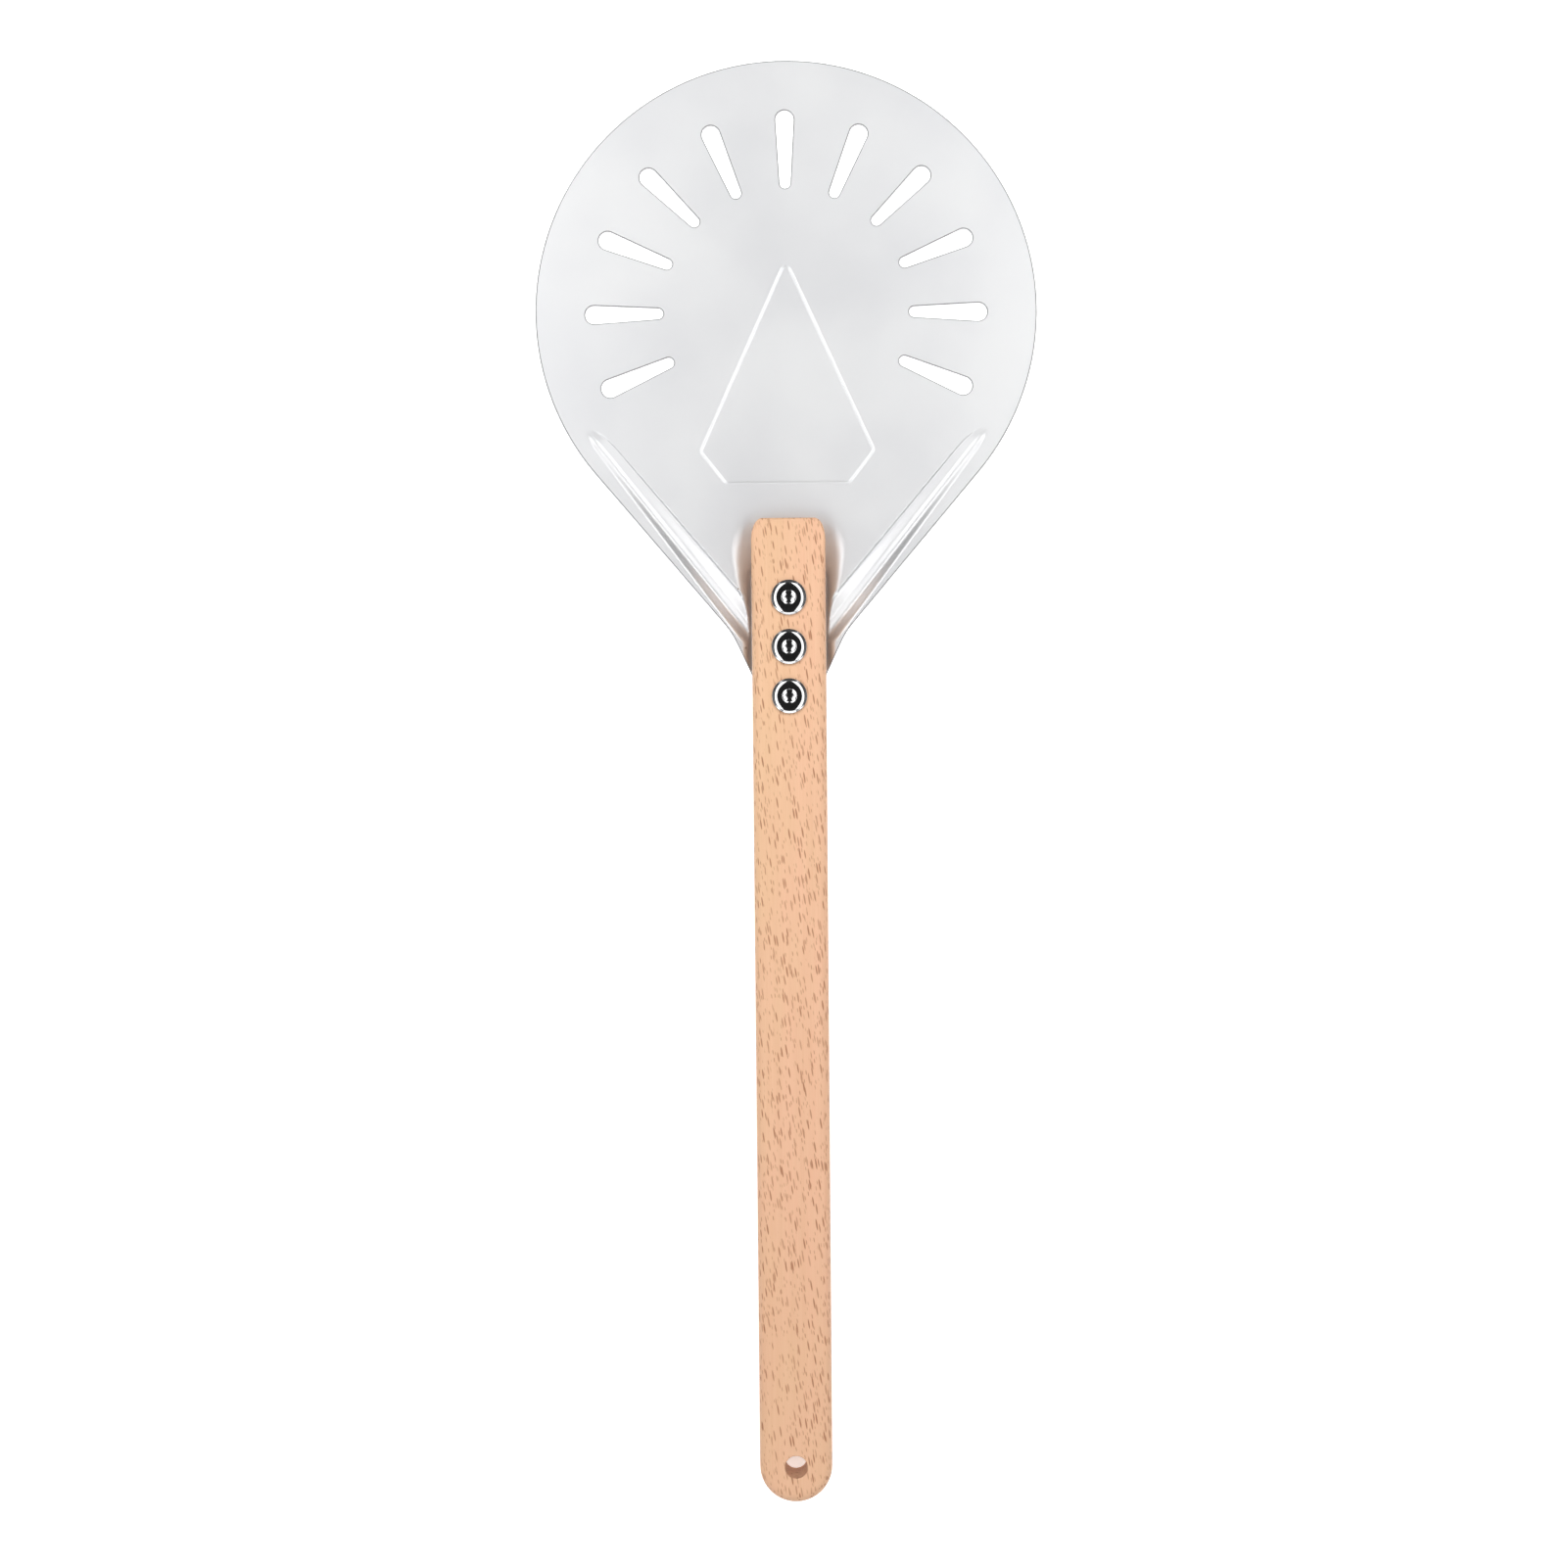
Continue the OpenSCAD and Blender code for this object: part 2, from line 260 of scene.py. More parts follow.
def near_loop(points, loop, reach):
    """Which points lie within reach of a closed outline's own points."""
    near = np.zeros(len(points), bool)
    for p in loop:
        near |= ((points - p) ** 2).sum(1) < reach * reach
    return near


# ---------------------------------------------------------------- pressed forms of the sheet


def ramp(u, soft):
    """0 to 1 as u runs from 0 to 1: straight in the middle, with parabolic bends of length soft."""
    u = np.clip(u, 0, 1)
    slope = 1 / (1 - soft)
    low = slope * u * u / (2 * soft)
    high = 1 - slope * (1 - u) ** 2 / (2 * soft)
    return np.where(u < soft, low, np.where(u > 1 - soft, high, slope * (u - soft / 2)))


def share(value, start, end):
    """How far a value is on the way from start to end: 0 at the start and 1 at the end."""
    return (value - start) / (end - start)


def blend(u, a, b):
    """From a to b as u runs from 0 to 1, and level outside that."""
    return a + (b - a) * np.clip(u, 0, 1)


def fade(value, span, ends):
    """From one end to the other as the value runs over the span, and level outside it."""
    return blend(share(value, *span), *ends)


def rib_widths(s):
    """Widths of a rib's inner and outer wall, at a distance from its tip, which is round."""
    before_full = np.clip((RIB_FULL_W_AT - s) / (RIB_FULL_W_AT - RIB_START), 0, 1)
    narrow = np.sqrt(np.maximum(1 - before_full ** 2, 1e-6))
    along = s / RIB_LEN
    return narrow * blend(along, *RIB_INNER_W), narrow * blend(along, *RIB_OUTER_W)


def rib_depth(x, y):
    """Depth of the valleys that run from the blade's sides to the neck.

    From the deepest line, a rib's inner wall is a gentle foot, an even slope and a steep crease, whose
    shares of the depth change along the rib. Its outer wall is one smooth slope.
    """
    dx, dy = np.abs(x) - RIB_TIP[0], y - RIB_TIP[1]
    s = dx * RIB_ALONG[0] + dy * RIB_ALONG[1]
    p = dx * RIB_ALONG[1] - dy * RIB_ALONG[0]
    inner, outer = rib_widths(s)
    at_tip = RIB_TIP_DEPTH * ramp((s - RIB_START) / RIB_DIP_LEN, soft=0.45)
    grown = np.clip(s / (RIB_LEN + RIB_PAST_ROOT), 0, 1) ** 1.6
    deepest = at_tip + (RIB_DEPTH - RIB_TIP_DEPTH) * grown
    u = p / inner
    gentle = ramp(share(u, *WALL_FOOT), soft=0.4)
    even = ramp(share(u, *WALL_SLOPE), soft=0.2)
    steep = ramp(share(u, *WALL_CREASE), soft=0.3)
    foot = fade(s, RIB_FOOT_SPAN, RIB_FOOT_SHARE)
    crease = fade(s, RIB_CREASE_SPAN, RIB_CREASE_SHARE)
    wall_in = foot * (1 - gentle) + (1 - foot - crease) * (1 - even) + crease * (1 - steep)
    wall_out = 1 - ramp(-p / outer, soft=0.36)
    return deepest * np.where(p > 0, wall_in, wall_out)


def rib_rows(step):
    """Points in lines along both ribs, closer together where the walls bend.

    The lines lie at shares of the inner and outer wall's width, from the deepest line outwards.
    """
    across_in = np.array(
        [0, 0.1, 0.2, 0.3, 0.42, 0.56, 0.7, 0.8, 0.84, 0.87, 0.9, 0.93, 0.96, 0.99, 1.02, 1.07])
    across_out = np.array([0.12, 0.24, 0.36, 0.5, 0.64, 0.76, 0.88, 1.0, 1.1])
    inward = np.array([RIB_ALONG[1], -RIB_ALONG[0]])
    first, last = RIB_START + 0.1, RIB_LEN + 14
    rows = []
    for s in np.arange(first, last, step):
        inner, outer = rib_widths(s)
        p = np.concatenate([inner * across_in, -outer * across_out])
        rows.append(RIB_TIP + s * RIB_ALONG + p[:, None] * inward)
    rows = np.vstack(rows)
    return np.vstack([rows, rows * [-1, 1]])


def recess_depth(x, y):
    """Depth of the recess that the handle lies in: short steep walls beside it, a long one in front."""
    qx = np.abs(x) - (RECESS_HALF_W - RECESS_FOOT_R)
    qy = y - (RECESS_FRONT_Y - RECESS_FOOT_R)
    outside = np.hypot(np.maximum(qx, 0), np.maximum(qy, 0))
    dist = outside + np.minimum(np.maximum(qx, qy), 0) - RECESS_FOOT_R
    forward = np.where(outside > 0, np.maximum(qy, 0) / np.maximum(outside, 1e-9), 0) ** 3
    wide = 1 - ramp(share(y, RECESS_WIDE_Y, RECESS_NARROW_Y), soft=0.5)
    side_wall = blend(wide, RECESS_NARROW, RECESS_WIDE)
    u = np.clip(dist / blend(forward, side_wall, RECESS_RUN_IN + RECESS_PAST_TIP), 0, 1)
    side = (1 - u) ** RECESS_SIDE_POWER
    straight = RECESS_FRONT_STRAIGHT
    front = straight * (1 - ramp(u, soft=0.3)) + (1 - straight) * (1 - u) ** 2
    return RECESS_DEPTH * np.where(dist < 0, 1, blend(forward, side, front))


def floor_edge(off, step):
    """Points of the line that lies a distance outside the edge of the recess's floor."""
    corner = np.array([RECESS_HALF_W, RECESS_FRONT_Y]) - RECESS_FOOT_R
    rear = [corner[0] + RECESS_FOOT_R + off, TONGUE_Y - 30]
    bend = arc(corner, RECESS_FOOT_R + off, 0, math.pi / 2, step)
    return closed(mirrored(np.vstack([rear, bend])), step)


def pressed_depth(x, y):
    """The recess and the ribs together, with a soft join where they meet."""
    a, b = recess_depth(x, y), rib_depth(x, y)
    h = np.clip(0.5 + 0.5 * (a - b) / PRESS_JOIN, 0, 1)
    joined = b + (a - b) * h + PRESS_JOIN * h * (1 - h)
    return np.where(np.minimum(a, b) <= 0, np.maximum(a, b), np.maximum(joined, np.maximum(a, b)))


def kite_distance(x, y):
    """Signed distance from the middle of the kite's pressed line."""
    corners = inset_polygon(np.array(KITE), KITE_CORNER_R)
    nearest = np.full(np.shape(x), 1e9)
    side = np.full(np.shape(x), -1e9)
    for (ax, ay), (bx, by) in zip(corners, np.roll(corners, -1, axis=0)):
        ex, ey = bx - ax, by - ay
        t = np.clip(((x - ax) * ex + (y - ay) * ey) / (ex * ex + ey * ey), 0, 1)
        nearest = np.minimum(nearest, np.hypot(x - ax - t * ex, y - ay - t * ey))
        side = np.maximum(side, ((y - ay) * ex - (x - ax) * ey) / math.hypot(ex, ey))
    return np.where(side > 0, nearest, -nearest) - KITE_CORNER_R


def inset_polygon(points, by):
    """A clockwise convex polygon with each side moved inwards."""
    out = []
    for before, here, after in zip(np.roll(points, 1, axis=0), points, np.roll(points, -1, axis=0)):
        a, b = here - before, after - here
        na = np.array([-a[1], a[0]]) / np.linalg.norm(a)
        nb = np.array([-b[1], b[0]]) / np.linalg.norm(b)
        out.append(here - by * (na + nb) / (1 + na @ nb))
    return np.array(out)


def groove_depth(x, y):
    """Depth of the kite's pressed line, round across."""
    d = np.clip(np.abs(kite_distance(x, y)) / GROOVE_HALF_W, 0, 1)
    return GROOVE_DEPTH * 0.5 * (1 + np.cos(math.pi * d))


def slope_of(height, x, y):
    """Slopes of a height function along x and y."""
    reach = 0.02
    return (
        (height(x + reach, y) - height(x - reach, y)) / (2 * reach),
        (height(x, y + reach) - height(x, y - reach)) / (2 * reach))


def sheet_top(x, y):
    return SHEET_T - pressed_depth(x, y) - groove_depth(x, y)


def sheet_under(x, y):
    """The sheet keeps its thickness square to gentle walls, and is drawn thinner on steep ones."""
    gx, gy = slope_of(pressed_depth, x, y)
    stretch = np.minimum(np.sqrt(1 + gx * gx + gy * gy), STEEPEST_STRETCH)
    return np.maximum(SHEET_T - pressed_depth(x, y) - SHEET_T * stretch, -RECESS_DEPTH)


# ---------------------------------------------------------------- meshes from outlines


def new_object(name, points_mm, faces, normals=None):
    """A smooth-shaded object from points in millimetres, with a normal at each point if given."""
    mesh = bpy.data.meshes.new(name)
    mesh.from_pydata((np.asarray(points_mm) * MM).tolist(), [], [list(map(int, f)) for f in faces])
    mesh.polygons.foreach_set("use_smooth", [True] * len(mesh.polygons))
    if normals is not None:
        mesh.normals_split_custom_set_from_vertices(np.asarray(normals).tolist())
    mesh.validate()
    obj = bpy.data.objects.new(name, mesh)
    bpy.context.scene.collection.objects.link(obj)
    return obj


def bare_points(points, outline, clear, holes):
    """The points inside an outline that are clear of it, and of (hole, how far to stay clear)."""
    bare = inside(points, outline) & ~near_loop(points, outline, clear)
    for hole, hole_clear in holes:
        bare &= ~inside(points, hole) & ~near_loop(points, hole, hole_clear)
    return points[bare]


def triangulated(loops, extra):
    """Triangles between the first loop and the other loops, through the extra points too.

    Gives all points, the triangles, and each loop as its points' places in the list of all points.
    """
    points = np.vstack(loops + [extra]) if len(extra) else np.vstack(loops)
    edges, first = [], 0
    for loop in loops:
        n = len(loop)
        edges += [(first + i, first + (i + 1) % n) for i in range(n)]
        first += n
    result = delaunay_2d_cdt([Vector(p) for p in points], edges, [], 0, 1e-7, True)
    out_points, out_faces, out_origins = result[0], result[2], result[3]
    where = {}
    for new, olds in enumerate(out_origins):
        for old in olds:
            where[old] = new
    flat = np.array([tuple(p) for p in out_points])
    tris = np.array(out_faces)
    middle = flat[tris].mean(axis=1)
    keep = inside(middle, loops[0])
    for loop in loops[1:]:
        keep &= ~inside(middle, loop)
    tris = tris[keep]
    a, b, c = flat[tris[:, 0]], flat[tris[:, 1]], flat[tris[:, 2]]
    cross = (b[:, 0] - a[:, 0]) * (c[:, 1] - a[:, 1]) - (b[:, 1] - a[:, 1]) * (c[:, 0] - a[:, 0])
    tris[cross < 0] = tris[cross < 0][:, ::-1]
    loop_ids, first = [], 0
    for loop in loops:
        loop_ids.append([where[first + i] for i in range(len(loop))])
        first += len(loop)
    return flat, tris, loop_ids


def rim(outline, radius, steps, is_hole=False):
    """A rim for slab: its widest line, the edge radius at each point, hole or not, and turn steps."""
    return outline, np.full(len(outline), radius), is_hole, steps


def slab(name, rims, extra, top, under):
    """A closed sheet or bar between two height functions, with rounded rims.

    The first rim is the outer one. Faces of the rims take the object's second material.
    """
    inner_loops, outs = [], []
    for outline, radius, is_hole, _ in rims:
        out = outward(outline) * (-1 if is_hole else 1)
        outs.append(out)
        inner_loops.append(outline - out * radius[:, None])
    flat, tris, loop_ids = triangulated(inner_loops, extra)
    x, y = flat[:, 0], flat[:, 1]
    count = len(flat)
    points = [np.column_stack([x, y, top(x, y)]), np.column_stack([x, y, under(x, y)])]
    tx, ty = slope_of(top, x, y)
    ux, uy = slope_of(under, x, y)
    normals = [
        np.column_stack([-tx, -ty, np.ones(count)]),
        np.column_stack([ux, uy, -np.ones(count)])]
    faces = [tuple(t) for t in tris] + [tuple(t[::-1] + count) for t in tris]
    total = 2 * count
    for (outline, radius, is_hole, steps), out, ids in zip(rims, outs, loop_ids):
        n = len(outline)
        rows = [np.array(ids)]
        for up, turns in ((1, range(1, steps + 1)), (-1, range(steps, 0, -1))):
            for k in turns:
                a = math.pi / 2 * k / steps
                xy = outline - out * (radius * (1 - math.sin(a)))[:, None]
                surface = top if up > 0 else under
                z = surface(xy[:, 0], xy[:, 1]) - up * radius * (1 - math.cos(a))
                points.append(np.column_stack([xy, z]))
                lift = np.full(n, up * math.cos(a))
                normals.append(np.column_stack([out * math.sin(a), lift]))
                rows.append(total + np.arange(n))
                total += n
        rows.append(np.array(ids) + count)
        for upper, lower in zip(rows, rows[1:]):
            for i in range(n):
                j = (i + 1) % n
                quad = (upper[i], lower[i], lower[j], upper[j])
                faces.append(quad[::-1] if is_hole else quad)
    normals = np.vstack(normals)
    normals /= np.linalg.norm(normals, axis=1)[:, None]
    obj = new_object(name, np.vstack(points), faces, normals)
    for polygon in obj.data.polygons[2 * len(tris):]:
        polygon.material_index = 1
    return obj


def grid(low, high, step):
    """Points of a triangular grid between two corners."""
    xs = np.arange(low[0], high[0], step)
    ys = np.arange(low[1], high[1], step * math.sqrt(3) / 2)
    x, y = np.meshgrid(xs, ys)
    x = x + (np.arange(len(ys)) % 2)[:, None] * step / 2
    return np.column_stack([x.ravel(), y.ravel()])


# ---------------------------------------------------------------- blade


def rounded_ring(corners, radius, step):
    """The line at a fixed distance outside a clockwise convex polygon, with round corners."""
    points = []
    befores, afters = np.roll(corners, 1, axis=0), np.roll(corners, -1, axis=0)
    for before, here, after in zip(befores, corners, afters):
        a, b = here - before, after - here
        start = math.atan2(a[0], -a[1])
        end = math.atan2(b[0], -b[1])
        while end > start:
            end -= 2 * math.pi
        points.append(arc(here, radius, start, end, step / 2))
    return closed(np.vstack(points), step)


def recess_points(low, high, step):
    """A close grid over the recess and round it, with lines of points along its floor's edge."""
    close = grid(low, (high[0], PRESSED_FRONT_Y), step)
    x, y = close.T
    depth = pressed_depth(x, y)
    steps = ((step, 0), (-step, 0), (0, step), (0, -step))
    around = sum(pressed_depth(x + dx, y + dy) for dx, dy in steps)
    only_rib = (rib_depth(x, y) > 0) & (recess_depth(x, y) <= 0)
    close = close[((depth > 0) | (around > 0)) & ~only_rib]
    close = close[~near_loop(close, floor_edge(0.0, 0.5 * step), 0.8)]
    return np.vstack([close] + [floor_edge(off, step) for off in (-0.4, 0.0, 0.4)])


def kite_points():
    """Lines of points along the kite's pressed line, on both sides of its middle."""
    kite = inset_polygon(np.array(KITE), KITE_CORNER_R)
    offs = (-1.3, -0.85, -0.55, -0.25, 0, 0.25, 0.55, 0.85, 1.3)
    return np.vstack([rounded_ring(kite, KITE_CORNER_R + off, 1.6) for off in offs])


def build_blade():
    fine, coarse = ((1.0, 6.0))
    outline = blade_outline(step=1.3)
    angles = [(i - (SLOT_COUNT - 1) / 2) * SLOT_PITCH for i in range(SLOT_COUNT)]
    slots = [slot_outline(angle, step=0.7) for angle in angles]
    holes = [circle((0, y), BOLT_BORE_R, step=0.9) for y in BOLT_YS]

    low, high = outline.min(0), outline.max(0)
    rows = rib_rows(1.3 * fine)
    rows = rows[recess_depth(rows[:, 0], rows[:, 1]) <= 0]
    wide = grid(low, high, coarse)
    wide = wide[pressed_depth(wide[:, 0], wide[:, 1]) <= 0]
    wide = wide[np.abs(kite_distance(wide[:, 0], wide[:, 1])) > KITE_CLEAR]
    extra = np.vstack([recess_points(low, high, fine), rows, wide, kite_points()])
    extra = bare_points(extra, outline, 0.8, [(loop, 0.7) for loop in slots + holes])

    rims = [rim(outline, SHEET_EDGE_R, 3)]
    rims += [rim(loop, SLOT_EDGE_R, 3, is_hole=True) for loop in slots]
    rims += [rim(loop, HOLE_EDGE_R, 1, is_hole=True) for loop in holes]
    return slab("blade_sheet", rims, extra, sheet_top, sheet_under)


# ---------------------------------------------------------------- handle


def build_handle():
    outline = handle_outline(step=2.0)
    behind_tip = HANDLE_TIP_Y - outline[:, 1]
    edge = fade(behind_tip, HANDLE_EDGE_SPAN, (HANDLE_TIP_EDGE_R, HANDLE_EDGE_R))
    hang = circle((0, HANDLE_END_Y), HANG_HOLE_R, step=0.5)
    bores = [circle((0, y), BOLT_BORE_R, step=0.9) for y in BOLT_YS]
    rims = [rim(outline, edge, 7), rim(hang, HANG_HOLE_EDGE_R, 3, is_hole=True)]
    rims += [rim(bore, BOLT_BORE_EDGE_R, 1, is_hole=True) for bore in bores]

    low, high = (-20, HANDLE_END_Y - HANDLE_END_R), (20, HANDLE_TIP_Y)
    holes = [(hang, 1.5)] + [(bore, 1.0) for bore in bores]
    extra = bare_points(grid(low, high, step=4.0), outline, HANDLE_EDGE_R + 2, holes)

    def top(x, y):
        return np.full(np.shape(x), HANDLE_TOP)

    def under(x, y):
        """Level, but rising towards the tip, above the recess's front wall."""
        return HANDLE_UNDER + HANDLE_RISE * np.maximum(0, y - (HANDLE_TIP_Y - HANDLE_RISE_LEN))

    return slab("handle_wood", rims, extra, top, under)


# ---------------------------------------------------------------- fasteners


def lathe(name, rings, place, upside_down):
    """A closed turned piece. Each ring is (height, radius), and both may be functions of the angle."""
    segments = 96
    angles = np.arange(segments) * 2 * math.pi / segments
    sign = -1 if upside_down else 1
    points = []
    for height, radius in rings:
        for a in angles:
            r = radius(a) if callable(radius) else radius
            h = height(a) if callable(height) else height
            points.append((r * math.cos(a), r * math.sin(a), sign * h))
    faces = []
    for k in range(len(rings) - 1):
        lower, upper = k * segments, (k + 1) * segments
        for i in range(segments):
            j = (i + 1) % segments
            quad = (lower + i, lower + j, upper + j, upper + i)
            faces.append(quad[::-1] if upside_down else quad)
    first = tuple(range(segments))
    last = tuple((len(rings) - 1) * segments + i for i in range(segments))
    faces.append(first if upside_down else first[::-1])
    faces.append(last[::-1] if upside_down else last)
    obj = new_object(name, np.array(points) + np.array(place), faces)
    soften(obj, degrees=35)
    return obj


def soften(obj, degrees):
    """Marks the edges that bend more than the angle as sharp, so that only the rest shades smoothly."""
    work = bmesh.new()
    work.from_mesh(obj.data)
    limit = math.radians(degrees)
    for edge in work.edges:
        edge.smooth = len(edge.link_faces) == 2 and edge.calc_face_angle(0) < limit
    work.to_mesh(obj.data)
    work.free()


def hexagon(angle):
    """Distance from the socket's axis to its hexagonal wall."""
    sixth = math.pi / 3
    return SOCKET_APOTHEM / math.cos((angle % sixth) - sixth / 2)


def head_rings():
    """From the head's rim over the dome, across the flat, and down into the hexagonal socket."""
    shoulder_r = HEAD_R - HEAD_EDGE_R
    bend_r = (shoulder_r - HEAD_FLAT_R) / math.sin(SHOULDER_SLOPE)
    shoulder_h = HEAD_H - bend_r * (1 - math.cos(SHOULDER_SLOPE))
    edge_h = shoulder_h - HEAD_EDGE_R
    lip, tiny = 0.15, 0.05
    rings = [(0.0, HEAD_R - lip), (lip, HEAD_R), (edge_h, HEAD_R)]
    for k in range(1, 5):
        a = (math.pi / 2 - SHOULDER_SLOPE) * k / 4
        rings.append((edge_h + HEAD_EDGE_R * math.sin(a), shoulder_r + HEAD_EDGE_R * math.cos(a)))
    for k in range(10):
        a = SHOULDER_SLOPE * (1 - k / 9)
        rings.append((HEAD_H - bend_r * (1 - math.cos(a)), HEAD_FLAT_R + bend_r * math.sin(a)))
    # Rings close to the flat's two edges keep its shading level.
    rings += [(HEAD_H, r) for r in (HEAD_FLAT_R - 0.08, SOCKET_BEVEL_R + 0.2, SOCKET_BEVEL_R + 0.1)]
    mouth_h, floor_h = HEAD_H - tiny, HEAD_H - SOCKET_DEPTH
    rings.append((mouth_h, SOCKET_BEVEL_R))
    rings.append((lambda a: mouth_h - SOCKET_BEVEL_SLOPE * (SOCKET_BEVEL_R - hexagon(a)), hexagon))
    rings.append((floor_h, hexagon))
    rings.append((floor_h - tiny, lambda a: 0.9 * hexagon(a)))
    rings.append((floor_h - tiny - SOCKET_CONE_H, AXIS_R))
    return rings


def thread_rings(bottom, top, crest, root):
    """The crests and roots of a thread, as rings from the bottom up."""
    turn = [(0.1, root), (0.5, crest), (0.62, crest)]
    rings = []
    for k in range(int((top - bottom) / THREAD_PITCH)):
        rings += [(bottom + (k + part) * THREAD_PITCH, radius) for part, radius in turn]
    return rings


def build_bolt(i):
    """A bolt from its end up; heights are measured from the handle's top, under the head."""
    end = bolt_boxes[i][0][2] - HANDLE_TOP
    rings = [(end, AXIS_R), (end, BOLT_END_R)]
    rings += thread_rings(end + 0.3, BOLT_THREAD_TOP, BOLT_CREST_R, BOLT_ROOT_R)
    rings += [(BOLT_THREAD_TOP, SHANK_R), (-0.2, SHANK_R), (0.0, SHANK_R + NECK_FLARE)]
    return lathe(f"bolt_{i + 1}_polished", rings + head_rings(), (0, BOLT_YS[i], HANDLE_TOP), False)


def build_nut(i):
    """A sleeve nut, turned over: heights run down from the tongue, so its barrel's are negative."""
    under = -RECESS_DEPTH
    top = nut_boxes[i][1][2] - under
    chamfer = 0.3
    thread = thread_rings(NUT_FLOOR_H + chamfer, top - 0.8, NUT_CREST_R, NUT_ROOT_R)
    rings = [(-NUT_FLOOR_H, AXIS_R), (-NUT_FLOOR_H, NUT_END_R)]
    rings += [(-height, radius) for height, radius in thread]
    rings += [(0.4 - top, NUT_ROOT_R), (-top, NUT_ROOT_R + chamfer)]
    rings += [(-top, BARREL_R - chamfer), (chamfer - top, BARREL_R)]
    rings += [(-0.2, BARREL_R), (0.0, BARREL_R + NECK_FLARE)]
    return lathe(f"sleeve_nut_{i + 1}_polished", rings + head_rings(), (0, BOLT_YS[i], under), True)


# ---------------------------------------------------------------- materials

WHITE = (1.0, 1.0, 1.0, 1.0)


class Nodes:
    """A node tree of a material or a world, with one short call for each node."""

    def __init__(self, name, owners=bpy.data.materials, shader="Principled BSDF"):
        self.owner = owners.new(name)
        self.owner.use_nodes = True
        self.tree = self.owner.node_tree
        self.shader = self.tree.nodes[shader]

    def add(self, kind, inputs=None, **settings):
        node = self.tree.nodes.new(kind)
        for key, value in settings.items():
            setattr(node, key, value)
        for key, value in (inputs or {}).items():
            self.feed(node.inputs[key], value)
        return node

    def feed(self, socket, value):
        if isinstance(value, bpy.types.NodeSocket):
            self.tree.links.new(value, socket)
        else:
            socket.default_value = value

    def set(self, **inputs):
        for key, value in inputs.items():
            self.feed(self.shader.inputs[key.replace("_", " ")], value)

    def place(self, scale):
        """Object coordinates in metres, stretched along each axis."""
        where = self.add("ShaderNodeTexCoord").outputs["Object"]
        return self.add("ShaderNodeMapping", {"Vector": where, "Scale": scale}).outputs["Vector"]

    def noise(self, scale, detail=2.0, rough=0.5):
        node = self.add(
            "ShaderNodeTexNoise",
            {"Vector": self.place(scale), "Scale": 1.0, "Detail": detail, "Roughness": rough})
        return node.outputs["Fac"]

    def math(self, operation, a, b=0.0, c=0.0):
        node = self.add("ShaderNodeMath", {0: a, 1: b, 2: c}, operation=operation)
        return node.outputs[0]

    def spread(self, value, low, high, to_low, to_high):
        """Maps a range onto another, clamped, with soft ends."""
        ends = {"From Min": low, "From Max": high, "To Min": to_low, "To Max": to_high}
        node = self.add(
            "ShaderNodeMapRange", {"Value": value, **ends}, interpolation_type="SMOOTHSTEP")
        return node.outputs["Result"]

    def vary(self, noise, low=0.0, high=1.0):
        """Maps a noise, which lies mostly between 0.3 and 0.7, onto a range."""
        return self.spread(noise, 0.3, 0.7, low, high)

    def mix(self, factor, a, b, how="MIX"):
        """Colour a with a share of colour b; each is a socket or (red, green, blue)."""
        node = self.add("ShaderNodeMix", data_type="RGBA", blend_type=how)
        self.feed(node.inputs[0], factor)
        for socket, colour in ((node.inputs[6], a), (node.inputs[7], b)):
            self.feed(socket, (*colour, 1) if isinstance(colour, tuple) else colour)
        return node.outputs[2]

    def bump(self, height, distance, strength):
        inputs = {"Height": height, "Distance": distance, "Strength": strength}
        return self.add("ShaderNodeBump", inputs).outputs["Normal"]


def aluminium():
    """Fine bead-blasted, clear anodised sheet: near white, with a faint cloudiness."""
    m = Nodes("satin_aluminium")
    cloud = m.noise((14, 14, 14), 3.0)
    grain = m.noise((2600, 2600, 2600), 2.0, 0.6)
    colour = m.mix(m.vary(cloud), (0.80, 0.805, 0.82), (0.84, 0.845, 0.85))
    speck = m.spread(grain, 0.35, 0.65, -0.03, 0.03)
    roughness = m.math("ADD", m.vary(cloud, 0.37, 0.41), speck)
    relief = m.bump(grain, 0.00002, 0.35)
    m.set(Base_Color=colour, Metallic=0.75, Roughness=roughness, Normal=relief)
    return m.owner


